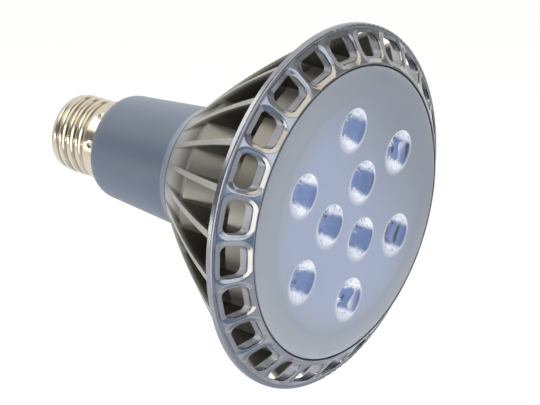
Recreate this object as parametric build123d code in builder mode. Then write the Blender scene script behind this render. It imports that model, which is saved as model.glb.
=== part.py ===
from build123d import *
import os
from math import atan, degrees, hypot, radians, tan

# A reflector-shaped LED lamp with a screw cap. Millimetres, +Z up.
# The lamp axis lies along Y, with the light towards -Y and the contact tip of the cap at the origin.
# A station is a distance from the contact tip along the axis, towards the light.

# Overall size
LAMP_LENGTH = 123.0
RIM_RADIUS = 60.5

# Clearances
FIT = 0.1
LOOSE_FIT = 0.25

# Angles, in degrees round the lamp axis
UPWARD = 90
FIRST_INNER = 60
QUARTER = 90

# Screw cap
CONTACT_RADIUS = 4.8
CONTACT_FLAT = 2.6
CONTACT_HEIGHT = 1.4
STEM_RADIUS = 1.7
INSULATOR_HEIGHT = 3.2
INSULATOR_MOUTH = 9.6
INSULATOR_PLUG = 2.4
THREAD_RADIUS = 13.5
THREAD_DEPTH = 0.9
THREAD_PITCH = 3.63
THREAD_TURNS = 3
SHELL_SHOULDER = 2.1
SHELL_WALL = 0.45
SHELL_CORNER = 11.5
SKIRT_RADIUS = 14.0
SKIRT_SLOPE = 1.2
SKIRT_LENGTH = 5.0
CORNER_SWELL = 0.15

# Neck
NECK_WALL = 2.0
SPIGOT_GAP = 2.6
SPIGOT_LEAD_IN = 0.5
NECK_BACK_RADIUS = 14.8
NECK_SHOULDER_RADIUS = 18.1
NECK_SHOULDER_LENGTH = 5.4
NECK_FRONT_RADIUS = 20.6
NECK_LENGTH = 38.9
FLARE_LENGTH = 3.7
FLANGE_RADIUS = 22.3
FLANGE_EDGE = 1.0
NOSE_RADIUS = 19.4
NOSE_LENGTH = 1.8
NECK_BOSS_RADIUS = 2.7
NECK_BOSS_LENGTH = 12.0
RAIL_REACH = 1.4
RAIL_LIP = 1.5

# Screws
SCREW_COUNT = 3
SHANK_RADIUS = 1.45
HEAD_RADIUS = 2.7
HEAD_HEIGHT = 1.9
HEAD_EDGE = 0.6
NECK_SCREW_CIRCLE = 16.6
NECK_SCREW_BITE = 9.0
BOARD_SCREW_INSET = 2.3
BOARD_SCREW_BITE = 8.0
SINK_BOSS_RADIUS = 3.2
SINK_BOSS_LENGTH = 11.0

# Heat sink
SINK_BACK_RADIUS = 23.4
SINK_EDGE = 0.4
SINK_FLANGE = 3.0
SINK_BORE = 13.4
SINK_CONE_LENGTH = 17.5
SINK_CONE_WALL = 3.0
CAN_RADIUS = 35.5
CAN_WALL = 3.6
CUP_FLOOR = 3.0
CUP_DEPTH = 4.6
CUP_WALL = 3.2
CUP_DRAFT = 0.6
MOUTH_BEVEL = 4.0
LEDGE = 2.2
SEAT_DEPTH = 3.1
LIP = 0.5
RING_DROP = 7.0
RING_THICKNESS = 3.0
RIM_BAND = 2.4
RIM_STEP = 0.5
RIM_ROUND = 0.9
RIM_EDGE = 0.3
FIN_COUNT = 24
FIN_THICKNESS = 2.5
FIN_DRAFT = 0.6
FIN_BULGE = 1.45
FIN_ROOT = 1.0
WEB = 3.2
WINDOW_MARGIN = 1.2
WINDOW_RIM_MARGIN = 1.4
WINDOW_CORNER_SHARE = 0.36
WINDOW_ROUND = 0.7

# Lens
LENS_RADIUS = 48.2
LENS_PROUD = 1.4
LENS_FLAT = 40.0
LENS_EDGE_DROP = 1.5
LENS_THICKNESS = 2.6
SPOT_RADIUS = 6.6
SPOT_RECESS = 0.4
COLLIMATOR_TOP = 7.6
COLLIMATOR_TIP = 3.6
COLLIMATOR_LIFT = 1.9
COLLIMATOR_WELL = 2.4
WELL_DEPTH = 3.4
GASKET_HEIGHT = 0.8
GASKET_LIP = 0.4
GASKET_SINK = 0.3

# Light engine
OUTER_INSET = 4.4
OUTER_COUNT = 6
INNER_SHARE = 0.388
INNER_COUNT = 3
EMITTER_SIDE = 3.8
EMITTER_BASE = 0.8
EMITTER_DOME = 1.5
PLATE_THICKNESS = 4.0
PLATE_SHOULDER = 1.6
PAD_THICKNESS = 0.3
BOARD_THICKNESS = 1.6
LEAD_HOLE = 4.0

# Driver
DRIVER_WIDTH = 25.0
DRIVER_LENGTH = 36.0
DRIVER_DROP = 4.0
BULK_RADIUS = 5.0
BULK_LENGTH = 12.0
OUTPUT_RADIUS = 4.0
OUTPUT_LENGTH = 10.5
SLEEVE_EDGE = 0.45
TRANSFORMER_WIDTH = 11.0
TRANSFORMER_LENGTH = 10.5
TRANSFORMER_HEIGHT = 10.5
BOBBIN_STEP = 1.4
FILM_WIDTH = 5.0
FILM_LENGTH = 9.0
FILM_HEIGHT = 8.0
FILM_EDGE = 0.6
CHOKE_RADIUS = 3.4
CHOKE_HEIGHT = 7.5
CHOKE_FLANGE = 1.2
FUSE_RADIUS = 1.6
FUSE_LENGTH = 7.0
FUSE_EDGE = 0.4
CHIP_SIDE = 4.4
CHIP_HEIGHT = 1.6
BRIDGE_WIDTH = 6.4
BRIDGE_LENGTH = 4.8
BRIDGE_HEIGHT = 2.4
PART_SPACE = 1.2
LANDING = 7.0

# Leads
LEAD_RADIUS = 0.7
LEAD_BEND = 4.0
TIGHT_BEND = 1.6
LEAD_SPREAD = 1.6
LEAD_REACH = 6.4

# Cap stations
shell_end = CONTACT_HEIGHT + INSULATOR_HEIGHT
plug_end = shell_end + SHELL_WALL + INSULATOR_PLUG
thread_start = shell_end + SHELL_SHOULDER
thread_end = thread_start + THREAD_PITCH * (THREAD_TURNS + 0.5)
skirt_start = thread_end + SKIRT_SLOPE
neck_back = skirt_start + SKIRT_LENGTH

# Neck stations
shoulder_end = neck_back + NECK_SHOULDER_LENGTH
neck_face = neck_back + NECK_LENGTH
flare_end = neck_face - FLANGE_EDGE
flare_start = flare_end - FLARE_LENGTH
nose_end = neck_face + NOSE_LENGTH

# Heat sink stations
sink_back = neck_face
flange_back = nose_end + FIT
flange_front = flange_back + SINK_FLANGE
can_start = sink_back + SINK_CONE_LENGTH
lip_top = LAMP_LENGTH - LENS_PROUD
seat = lip_top - SEAT_DEPTH
cup_floor = seat - CUP_DEPTH
cup_back = cup_floor - CUP_FLOOR
rim_front = lip_top - RING_DROP
rim_back = rim_front - RIM_BAND

# Heat sink radii
seat_radius = LENS_RADIUS + GASKET_LIP + 2 * FIT
lip_radius = seat_radius + LIP
cup_bore = seat_radius - LEDGE
cup_radius = cup_bore + CUP_WALL
ring_foot = RIM_RADIUS - RIM_ROUND - RIM_STEP
ring_slope = (ring_foot - lip_radius) / RING_DROP
rim_bore = lip_radius + ring_slope * (RING_DROP + RIM_BAND - RING_THICKNESS)
plate_bore = CAN_RADIUS - CAN_WALL + PLATE_SHOULDER
can_bore = CAN_RADIUS - CAN_WALL
mouth_radius = plate_bore + MOUTH_BEVEL
window_inner = lip_radius + WINDOW_MARGIN
window_outer = ring_foot - WINDOW_RIM_MARGIN
board_screw_circle = can_bore - BOARD_SCREW_INSET
outer_circle = plate_bore - OUTER_INSET
inner_circle = INNER_SHARE * outer_circle

# Light engine stations
board_top = cup_floor - MOUTH_BEVEL
board_back = board_top - BOARD_THICKNESS
plate_top = board_back - PAD_THICKNESS
plate_back = plate_top - PLATE_THICKNESS

# Lens stations
lens_back = LAMP_LENGTH - LENS_THICKNESS
lens_foot = seat + GASKET_HEIGHT
lens_shoulder = lip_top + LENS_PROUD - LENS_EDGE_DROP
collimator_end = board_top + COLLIMATOR_LIFT

# Driver stations and heights
driver_back = neck_back + NECK_WALL
driver_front = driver_back + DRIVER_LENGTH
driver_top = BOARD_THICKNESS / 2 - DRIVER_DROP
driver_bottom = -BOARD_THICKNESS / 2 - DRIVER_DROP
lead_height = driver_top + LEAD_RADIUS + FIT
side_limit = DRIVER_WIDTH / 2 - RAIL_REACH - PART_SPACE
row_two = driver_back + LANDING + BULK_LENGTH + PART_SPACE

# Half-sections are drawn as (radius, station)
HALF = Plane(origin=(0, 0, 0), x_dir=(1, 0, 0), z_dir=(0, 0, -1))


def station(distance):
    """Plane square to the lamp axis that looks the way the light goes."""
    return Plane.XZ.offset(distance)


def half_section(*points):
    """Closed half-section of straight sides, each point given as (radius, station)."""
    with BuildSketch(HALF) as section:
        with BuildLine():
            Polyline(*points, close=True)
        make_face()
    return section.sketch


def ring_front(radius):
    """Station of the vent ring's conical face at a radius."""
    return lip_top - (radius - lip_radius) / ring_slope


def back_cone(distance):
    """Radius of the heat sink's back cone at a station."""
    rise = (CAN_RADIUS - SINK_BACK_RADIUS) / (can_start - sink_back - SINK_EDGE)
    return SINK_BACK_RADIUS + rise * (distance - sink_back - SINK_EDGE)


def on_axis(side, height, distance):
    """Point in the part's frame: sideways, upwards and along the axis."""
    return (side, -distance, height)


# Centre contact: a flattened button with an eyelet stem through the insulator
with BuildPart() as centre_contact:
    with BuildSketch(HALF):
        with BuildLine():
            Line((0, 0), (CONTACT_FLAT, 0))
            EllipticalCenterArc(
                (CONTACT_FLAT, CONTACT_HEIGHT),
                CONTACT_RADIUS - CONTACT_FLAT,
                CONTACT_HEIGHT,
                -QUARTER,
                arc_size=QUARTER,
            )
            Polyline(
                (CONTACT_RADIUS, CONTACT_HEIGHT),
                (STEM_RADIUS, CONTACT_HEIGHT),
                (STEM_RADIUS, plug_end),
                (0, plug_end),
                (0, 0),
            )
        make_face()
    revolve(axis=Axis.Y)

# Insulator: a cone between the contact and the shell, with a plug that the shell's end holds
with BuildPart() as cap_insulator:
    plug_radius = THREAD_RADIUS - THREAD_DEPTH - SHELL_WALL - LOOSE_FIT
    revolve(
        half_section(
            (STEM_RADIUS + FIT, CONTACT_HEIGHT),
            (CONTACT_RADIUS + FIT, CONTACT_HEIGHT),
            (INSULATOR_MOUTH, shell_end),
            (INSULATOR_MOUTH, shell_end + SHELL_WALL),
            (SHELL_CORNER - SHELL_WALL - LOOSE_FIT, shell_end + SHELL_WALL),
            (plug_radius, thread_start),
            (plug_radius, plug_end),
            (STEM_RADIUS + FIT, plug_end),
        ),
        axis=Axis.Y,
    )


# Screw shell: rolled thread and plain skirt, open at the front and turned in over the insulator at the back
with BuildPart() as screw_shell:
    middle = THREAD_RADIUS - THREAD_DEPTH / 2
    shell_bore = THREAD_RADIUS - THREAD_DEPTH - SHELL_WALL
    corner_bulge = (middle - CORNER_SWELL, shell_end + SHELL_SHOULDER / 2)
    with BuildSketch(HALF):
        with BuildLine():
            ThreePointArc((SHELL_CORNER, shell_end), corner_bulge, (middle, thread_start))
            for half_turn in range(2 * THREAD_TURNS + 1):
                swing = THREAD_DEPTH / 2 if half_turn % 2 else -THREAD_DEPTH / 2
                begin = thread_start + half_turn * THREAD_PITCH / 2
                end = begin + THREAD_PITCH / 2
                ThreePointArc((middle, begin), (middle + swing, (begin + end) / 2), (middle, end))
            Polyline(
                (middle, thread_end),
                (SKIRT_RADIUS, skirt_start),
                (SKIRT_RADIUS, neck_back),
                (SKIRT_RADIUS - SHELL_WALL, neck_back),
                (SKIRT_RADIUS - SHELL_WALL, skirt_start),
                (shell_bore, thread_end),
                (shell_bore, thread_start),
                (SHELL_CORNER - SHELL_WALL, shell_end + SHELL_WALL),
                (INSULATOR_MOUTH + FIT, shell_end + SHELL_WALL),
                (INSULATOR_MOUTH + FIT, shell_end),
                (SHELL_CORNER, shell_end),
            )
        make_face()
    revolve(axis=Axis.Y)

# Neck: the plastic housing of the driver, one moulding with its flare, rails and screw bosses
thread_spigot = THREAD_RADIUS - THREAD_DEPTH - SHELL_WALL - FIT
skirt_spigot = SKIRT_RADIUS - SHELL_WALL - FIT
spigot_end = plug_end + SPIGOT_GAP
spigot_bore = thread_spigot - NECK_WALL
nose_bore = NOSE_RADIUS - NECK_WALL


def neck_outside():
    """Outside of the neck, from the back of its spigot to the front of its nose."""
    Polyline(
        (thread_spigot, spigot_end),
        (thread_spigot, skirt_start),
        (skirt_spigot, skirt_start + SPIGOT_LEAD_IN),
        (skirt_spigot, neck_back),
        (NECK_BACK_RADIUS, neck_back),
    )
    shoulder_rise = NECK_SHOULDER_RADIUS - NECK_BACK_RADIUS
    EllipticalCenterArc(
        (NECK_BACK_RADIUS, shoulder_end),
        shoulder_rise,
        NECK_SHOULDER_LENGTH,
        -QUARTER,
        arc_size=QUARTER,
    )
    Line((NECK_SHOULDER_RADIUS, shoulder_end), (NECK_FRONT_RADIUS, flare_start))
    EllipticalCenterArc(
        (FLANGE_RADIUS, flare_start),
        FLANGE_RADIUS - NECK_FRONT_RADIUS,
        FLARE_LENGTH,
        QUARTER,
        arc_size=QUARTER,
    )
    Polyline(
        (FLANGE_RADIUS, flare_end),
        (FLANGE_RADIUS, neck_face),
        (NOSE_RADIUS, neck_face),
        (NOSE_RADIUS, nose_end),
    )


with BuildPart() as driver_housing:
    with BuildSketch(station(driver_back)):
        with Locations((0, -DRIVER_DROP)):
            Rectangle(2 * FLANGE_RADIUS, BOARD_THICKNESS + 2 * RAIL_LIP)
            Rectangle(DRIVER_WIDTH - 2 * RAIL_REACH, BOARD_THICKNESS + 2 * RAIL_LIP, mode=Mode.SUBTRACT)
            Rectangle(DRIVER_WIDTH + 2 * FIT, BOARD_THICKNESS + 2 * FIT, mode=Mode.SUBTRACT)
    extrude(amount=DRIVER_LENGTH)
    with BuildSketch(station(nose_end)):
        with PolarLocations(NECK_SCREW_CIRCLE, SCREW_COUNT, start_angle=UPWARD):
            Circle(NECK_BOSS_RADIUS)
    extrude(amount=-NECK_BOSS_LENGTH)
    with BuildSketch(HALF):
        with BuildLine():
            neck_outside()
            Polyline((NOSE_RADIUS, nose_end), (0, nose_end), (0, spigot_end), (thread_spigot, spigot_end))
        make_face()
    revolve(axis=Axis.Y, mode=Mode.INTERSECT)
    with BuildSketch(HALF):
        with BuildLine():
            neck_outside()
            Polyline(
                (NOSE_RADIUS, nose_end),
                (nose_bore, nose_end),
                (nose_bore, flare_start),
                (NECK_SHOULDER_RADIUS - NECK_WALL, shoulder_end),
                (NECK_BACK_RADIUS, driver_back),
                (spigot_bore, driver_back),
                (spigot_bore, spigot_end),
                (thread_spigot, spigot_end),
            )
        make_face()
    revolve(axis=Axis.Y)
    with BuildSketch(station(nose_end)):
        with PolarLocations(NECK_SCREW_CIRCLE, SCREW_COUNT, start_angle=UPWARD):
            Circle(SHANK_RADIUS + FIT)
    extrude(amount=-NECK_SCREW_BITE - HEAD_HEIGHT / 2, mode=Mode.SUBTRACT)

# Driver board and its components, held by its edges in the rails
with BuildPart() as driver_board:
    with BuildSketch(Plane.XY.offset(driver_bottom)):
        with Locations((0, -(driver_back + driver_front) / 2)):
            Rectangle(DRIVER_WIDTH, DRIVER_LENGTH)
    extrude(amount=BOARD_THICKNESS)

with BuildPart() as bulk_capacitor:
    with BuildSketch(station(driver_back + LANDING)):
        with Locations((BULK_RADIUS - side_limit, driver_top + BULK_RADIUS)):
            Circle(BULK_RADIUS)
    extrude(amount=BULK_LENGTH)
    chamfer(bulk_capacitor.edges().filter_by(GeomType.CIRCLE), SLEEVE_EDGE)

with BuildPart() as output_capacitor:
    with BuildSketch(station(row_two)):
        with Locations((OUTPUT_RADIUS - side_limit, driver_top + OUTPUT_RADIUS)):
            Circle(OUTPUT_RADIUS)
    extrude(amount=OUTPUT_LENGTH)
    chamfer(output_capacitor.edges().filter_by(GeomType.CIRCLE), SLEEVE_EDGE)

with BuildPart() as fuse_resistor:
    with BuildSketch(station(driver_back + PART_SPACE)):
        with Locations((side_limit - FUSE_RADIUS, driver_top + FUSE_RADIUS)):
            Circle(FUSE_RADIUS)
    extrude(amount=FUSE_LENGTH)
    chamfer(fuse_resistor.edges().filter_by(GeomType.CIRCLE), FUSE_EDGE)

with BuildPart() as film_capacitor:
    film_start = driver_back + FUSE_LENGTH + 2 * PART_SPACE
    with BuildSketch(Plane.XY.offset(driver_top)):
        with Locations((side_limit - FILM_WIDTH / 2, -film_start - FILM_LENGTH / 2)):
            Rectangle(FILM_WIDTH, FILM_LENGTH)
    extrude(amount=FILM_HEIGHT)
    fillet(film_capacitor.edges().filter_by(Axis.Z), FILM_EDGE)

# Transformer: a ferrite core round a wound bobbin that stands out at both ends
with BuildPart() as transformer:
    with BuildSketch(Plane.XY.offset(driver_top)):
        with Locations((side_limit - TRANSFORMER_WIDTH / 2, -row_two - TRANSFORMER_LENGTH / 2)):
            Rectangle(TRANSFORMER_WIDTH, TRANSFORMER_LENGTH)
    extrude(amount=TRANSFORMER_HEIGHT)
    with BuildSketch(Plane.XY.offset(driver_top + BOBBIN_STEP)):
        with Locations((side_limit - TRANSFORMER_WIDTH / 2, -row_two - TRANSFORMER_LENGTH / 2)):
            with GridLocations(0, TRANSFORMER_LENGTH, 1, 2):
                Rectangle(TRANSFORMER_WIDTH, 2 * BOBBIN_STEP)
    extrude(amount=TRANSFORMER_HEIGHT - 2 * BOBBIN_STEP, mode=Mode.SUBTRACT)

# Choke: a drum core with two flanges, under the board
with BuildPart() as choke:
    with BuildSketch(Plane.XY.offset(driver_bottom)):
        with Locations((0, -driver_back - LANDING - CHOKE_RADIUS)):
            Circle(CHOKE_RADIUS)
    extrude(amount=-CHOKE_HEIGHT)
    with BuildSketch(Plane.XY.offset(driver_bottom - CHOKE_FLANGE)):
        with Locations((0, -driver_back - LANDING - CHOKE_RADIUS)):
            Circle(CHOKE_RADIUS)
            Circle(CHOKE_RADIUS - CHOKE_FLANGE / 2, mode=Mode.SUBTRACT)
    extrude(amount=2 * CHOKE_FLANGE - CHOKE_HEIGHT, mode=Mode.SUBTRACT)

with BuildPart() as bridge_rectifier:
    with BuildSketch(Plane.XY.offset(driver_bottom)):
        with Locations((0, -row_two - BRIDGE_LENGTH / 2)):
            Rectangle(BRIDGE_WIDTH, BRIDGE_LENGTH)
    extrude(amount=-BRIDGE_HEIGHT)

with BuildPart() as controller_chip:
    with BuildSketch(Plane.XY.offset(driver_bottom)):
        with Locations((0, -row_two - BRIDGE_LENGTH - PART_SPACE - CHIP_SIDE / 2)):
            Rectangle(CHIP_SIDE, CHIP_SIDE)
    extrude(amount=-CHIP_HEIGHT)


def fin_tips():
    """Curved outer edge of a fin, from the sink's back edge to the rim."""
    begin = (SINK_BACK_RADIUS, sink_back + SINK_EDGE)
    end = (rim_bore, rim_back)
    out = end[0] - begin[0]
    along = end[1] - begin[1]
    lean = FIN_BULGE / hypot(out, along)
    middle = ((begin[0] + end[0]) / 2 + along * lean, (begin[1] + end[1]) / 2 - out * lean)
    ThreePointArc(begin, middle, end)


# Heat sink: one casting of a back cone, a can, drafted fins, a cup, a ring of vents and a rim
with BuildPart() as heat_sink:
    fin_middle = (SINK_BACK_RADIUS + rim_bore) / 2
    half_pitch = 180 / FIN_COUNT
    with BuildSketch(station(lip_top)):
        with PolarLocations(fin_middle, FIN_COUNT, start_angle=UPWARD + half_pitch):
            Rectangle(rim_bore - SINK_BACK_RADIUS + 4 * FIN_ROOT, FIN_THICKNESS)
    extrude(amount=sink_back - lip_top, taper=FIN_DRAFT)
    with BuildSketch(HALF):
        with BuildLine():
            fin_tips()
            Polyline(
                (rim_bore, rim_back),
                (rim_bore, ring_front(rim_bore) - RING_THICKNESS / 2),
                (cup_radius, ring_front(cup_radius) - RING_THICKNESS / 2),
                (cup_radius - FIN_ROOT, cup_back + CUP_FLOOR / 2),
                (CAN_RADIUS - FIN_ROOT, cup_back + CUP_FLOOR / 2),
                (CAN_RADIUS - FIN_ROOT, can_start),
                (SINK_BACK_RADIUS - FIN_ROOT, sink_back + SINK_EDGE),
                (SINK_BACK_RADIUS, sink_back + SINK_EDGE),
            )
        make_face()
    revolve(axis=Axis.Y, mode=Mode.INTERSECT)
    cone_turn = hypot(CAN_RADIUS - SINK_BACK_RADIUS, can_start - sink_back - SINK_EDGE)
    cone_shift = SINK_CONE_WALL * cone_turn / (CAN_RADIUS - SINK_BACK_RADIUS)
    cone_rise = (can_start - sink_back - SINK_EDGE) / (CAN_RADIUS - SINK_BACK_RADIUS)
    with BuildSketch(HALF):
        with BuildLine():
            Polyline(
                (SINK_BORE, flange_back),
                (NOSE_RADIUS + FIT, flange_back),
                (NOSE_RADIUS + FIT, sink_back),
                (SINK_BACK_RADIUS - SINK_EDGE, sink_back),
                (SINK_BACK_RADIUS, sink_back + SINK_EDGE),
                (CAN_RADIUS, can_start),
                (CAN_RADIUS, cup_back),
                (cup_radius - CUP_DRAFT, cup_back),
                (cup_radius, ring_front(cup_radius) - RING_THICKNESS),
                (rim_bore, rim_back),
                (RIM_RADIUS - RIM_EDGE, rim_back),
                (RIM_RADIUS, rim_back + RIM_EDGE),
                (RIM_RADIUS, rim_front - RIM_ROUND),
            )
            CenterArc((RIM_RADIUS - RIM_ROUND, rim_front - RIM_ROUND), RIM_ROUND, 0, QUARTER)
            Polyline(
                (RIM_RADIUS - RIM_ROUND, rim_front),
                (ring_foot, rim_front),
                (lip_radius, lip_top),
                (seat_radius, lip_top),
                (seat_radius, seat),
                (cup_bore, seat),
                (cup_bore, cup_floor),
                (mouth_radius, cup_floor),
                (plate_bore, board_top),
                (plate_bore, plate_back),
                (can_bore, plate_back),
                (can_bore, sink_back + SINK_EDGE + cone_shift + cone_rise * (can_bore - SINK_BACK_RADIUS)),
                (back_cone(flange_front - cone_shift), flange_front),
                (SINK_BORE, flange_front),
                (SINK_BORE, flange_back),
            )
        make_face()
    revolve(axis=Axis.Y)
    with BuildSketch(station(lip_top)) as windows:
        inner_half = window_inner * tan(radians(half_pitch)) - WEB / 2
        outer_half = window_outer * tan(radians(half_pitch)) - WEB / 2
        with PolarLocations(0, FIN_COUNT, start_angle=UPWARD):
            Polygon(
                (window_inner, -inner_half),
                (window_outer, -outer_half),
                (window_outer, outer_half),
                (window_inner, inner_half),
                align=None,
            )
        shorter_side = min(window_outer - window_inner, 2 * inner_half)
        fillet(windows.vertices(), WINDOW_CORNER_SHARE * shorter_side)
    extrude(amount=rim_back - lip_top, mode=Mode.SUBTRACT)
    ring_face = max(heat_sink.faces(), key=lambda face: len(face.inner_wires()))
    fillet([edge for wire in ring_face.inner_wires() for edge in wire.edges()], WINDOW_ROUND)
    with BuildSketch(station(plate_back)):
        with PolarLocations(board_screw_circle, SCREW_COUNT):
            Circle(SINK_BOSS_RADIUS)
    extrude(amount=-SINK_BOSS_LENGTH)
    with BuildSketch(station(plate_back)):
        with PolarLocations(board_screw_circle, SCREW_COUNT):
            Circle(SHANK_RADIUS + FIT)
    extrude(amount=-BOARD_SCREW_BITE - HEAD_HEIGHT / 2, mode=Mode.SUBTRACT)
    with BuildSketch(station(flange_front)):
        with PolarLocations(NECK_SCREW_CIRCLE, SCREW_COUNT, start_angle=UPWARD):
            Circle(SHANK_RADIUS + LOOSE_FIT)
    extrude(amount=-SINK_FLANGE, mode=Mode.SUBTRACT)

# Screws that hold the neck to the sink's flange, and the light engine to the can
with BuildPart() as neck_screws:
    with BuildSketch(station(flange_front)):
        with PolarLocations(NECK_SCREW_CIRCLE, SCREW_COUNT, start_angle=UPWARD):
            Circle(HEAD_RADIUS)
    extrude(amount=HEAD_HEIGHT)
    chamfer(neck_screws.faces().sort_by(Axis.Y)[:SCREW_COUNT].edges(), HEAD_EDGE)
    with BuildSketch(station(flange_front)):
        with PolarLocations(NECK_SCREW_CIRCLE, SCREW_COUNT, start_angle=UPWARD):
            Circle(SHANK_RADIUS)
    extrude(amount=nose_end - flange_front - NECK_SCREW_BITE)

with BuildPart() as board_screws:
    with BuildSketch(station(board_top)):
        with PolarLocations(board_screw_circle, SCREW_COUNT):
            Circle(HEAD_RADIUS)
    extrude(amount=HEAD_HEIGHT)
    chamfer(board_screws.faces().sort_by(Axis.Y)[:SCREW_COUNT].edges(), HEAD_EDGE)
    with BuildSketch(station(board_top)):
        with PolarLocations(board_screw_circle, SCREW_COUNT):
            Circle(SHANK_RADIUS)
    extrude(amount=plate_back - board_top - BOARD_SCREW_BITE)


def stack_disc(radius):
    """Outline of one disc of the light engine, with its screw holes and its hole for the leads."""
    Circle(radius)
    Circle(LEAD_HOLE, mode=Mode.SUBTRACT)
    with PolarLocations(board_screw_circle, SCREW_COUNT):
        Circle(SHANK_RADIUS + LOOSE_FIT, mode=Mode.SUBTRACT)


# Light engine: a thick plate on the can's shoulder, a pad and a board
with BuildPart() as led_plate:
    with BuildSketch(station(plate_back)):
        stack_disc(plate_bore - FIT)
    extrude(amount=PLATE_THICKNESS)

with BuildPart() as thermal_pad:
    with BuildSketch(station(plate_top)):
        stack_disc(plate_bore - LOOSE_FIT)
    extrude(amount=PAD_THICKNESS)

with BuildPart() as led_board:
    with BuildSketch(station(board_back)):
        stack_disc(plate_bore - LOOSE_FIT)
    extrude(amount=BOARD_THICKNESS)


def lamp_spots():
    """Places of the emitters: six on the outer circle and three on the inner one."""
    outer = PolarLocations(outer_circle, OUTER_COUNT, start_angle=UPWARD)
    inner = PolarLocations(inner_circle, INNER_COUNT, start_angle=FIRST_INNER)
    return [*outer.local_locations, *inner.local_locations]


# Emitters: a ceramic base and a domed lens each
emitters = []
for spot in lamp_spots():
    with BuildPart() as emitter:
        with BuildSketch(station(board_top)):
            with Locations(spot):
                Rectangle(EMITTER_SIDE, EMITTER_SIDE)
        extrude(amount=EMITTER_BASE)
        with Locations(station(board_top + EMITTER_BASE)):
            with Locations(spot):
                Sphere(EMITTER_DOME, arc_size1=0)
    emitters.append(emitter)

# Lens: one moulding, with a cone-shaped collimator behind each clear place
with BuildPart() as lens_cover:
    with BuildSketch(HALF):
        with BuildLine():
            Line((0, LAMP_LENGTH), (LENS_FLAT, LAMP_LENGTH))
            EllipticalCenterArc(
                (LENS_FLAT, lens_shoulder),
                LENS_RADIUS - LENS_FLAT,
                LENS_EDGE_DROP,
                0,
                arc_size=QUARTER,
            )
            Polyline(
                (LENS_RADIUS, lens_shoulder),
                (LENS_RADIUS, lens_foot),
                (cup_bore + FIT, lens_foot),
                (cup_bore + FIT, lens_back),
                (0, lens_back),
                (0, LAMP_LENGTH),
            )
        make_face()
    revolve(axis=Axis.Y)
    with BuildSketch(station(lens_back)):
        with Locations(*lamp_spots()):
            Circle(COLLIMATOR_TOP)
    collimator_height = lens_back - collimator_end
    collimator_lean = degrees(atan((COLLIMATOR_TOP - COLLIMATOR_TIP) / collimator_height))
    extrude(amount=-collimator_height, taper=collimator_lean)
    with BuildSketch(station(collimator_end)):
        with Locations(*lamp_spots()):
            Circle(COLLIMATOR_WELL)
    extrude(amount=WELL_DEPTH, mode=Mode.SUBTRACT)
    with BuildSketch(station(LAMP_LENGTH)):
        with Locations(*lamp_spots()):
            Circle(SPOT_RADIUS)
    extrude(amount=-SPOT_RECESS, mode=Mode.SUBTRACT)

# Gasket: an L-shaped ring under the lens's foot and round its edge
with BuildPart() as lens_gasket:
    revolve(
        half_section(
            (cup_bore + FIT, seat),
            (seat_radius - FIT, seat),
            (seat_radius - FIT, lip_top - GASKET_SINK),
            (LENS_RADIUS + FIT, lip_top - GASKET_SINK),
            (LENS_RADIUS + FIT, lens_foot),
            (cup_bore + FIT, lens_foot),
        ),
        axis=Axis.Y,
    )


def lead(path):
    """Round lead along a wire."""
    with BuildSketch(Plane(origin=path @ 0, z_dir=path % 0)) as section:
        Circle(LEAD_RADIUS)
    sweep(section.sketch, path=path)


# Leads from the cap to the driver
bend_start = neck_back - SKIRT_LENGTH
landing_start = driver_back + LEAD_RADIUS + PART_SPACE
landing_end = driver_back + LANDING - PART_SPACE

with BuildPart() as tip_lead:
    with BuildLine() as tip_path:
        FilletPolyline(
            on_axis(0, 0, plug_end),
            on_axis(0, 0, bend_start),
            on_axis(0, lead_height, landing_start),
            on_axis(0, lead_height, landing_end),
            radius=LEAD_BEND,
        )
    lead(tip_path.wire())

with BuildPart() as shell_lead:
    joint_station = plug_end + SPIGOT_GAP / 2
    joint_side = spigot_bore / 2
    with BuildLine() as shell_path:
        FilletPolyline(
            on_axis(thread_spigot, 0, joint_station),
            on_axis(joint_side, 0, joint_station),
            on_axis(joint_side, 0, bend_start),
            on_axis(joint_side, lead_height, landing_start),
            on_axis(joint_side, lead_height, landing_end),
            radius=(TIGHT_BEND, LEAD_BEND, LEAD_BEND),
        )
    lead(shell_path.wire())

# Leads from the driver to the board, up through the hole in the stack
led_leads = []
for side in (1, -1):
    with BuildPart() as led_lead:
        board_side = side * spigot_bore / 2
        hole_side = side * LEAD_SPREAD
        pad_station = board_top + LEAD_RADIUS + FIT
        with BuildLine() as led_path:
            FilletPolyline(
                on_axis(board_side, lead_height, driver_front - LANDING / 2),
                on_axis(board_side, lead_height, driver_front),
                on_axis(hole_side, 0, plate_back - PLATE_THICKNESS),
                on_axis(hole_side, 0, pad_station),
                on_axis(side * (LEAD_SPREAD + LEAD_REACH), 0, pad_station),
                radius=(LEAD_BEND, LEAD_BEND, TIGHT_BEND),
            )
        lead(led_path.wire())
    led_leads.append(led_lead)

# Name each piece and write it
pieces = {
    "centre_contact": centre_contact,
    "cap_insulator": cap_insulator,
    "screw_shell": screw_shell,
    "driver_housing": driver_housing,
    "driver_board": driver_board,
    "bulk_capacitor": bulk_capacitor,
    "output_capacitor": output_capacitor,
    "fuse_resistor": fuse_resistor,
    "film_capacitor": film_capacitor,
    "transformer": transformer,
    "choke": choke,
    "bridge_rectifier": bridge_rectifier,
    "controller_chip": controller_chip,
    "heat_sink": heat_sink,
    "neck_screws": neck_screws,
    "board_screws": board_screws,
    "led_plate": led_plate,
    "thermal_pad": thermal_pad,
    "led_board": led_board,
    "lens_cover": lens_cover,
    "lens_gasket": lens_gasket,
    "tip_lead": tip_lead,
    "shell_lead": shell_lead,
    "led_lead_plus": led_leads[0],
    "led_lead_minus": led_leads[1],
}
for number, emitter in enumerate(emitters, start=1):
    pieces[f"led_{number}"] = emitter

os.makedirs("parts", exist_ok=True)
for name, piece in pieces.items():
    piece.part.label = name
    export_step(piece.part, f"parts/{name}.step")
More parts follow.
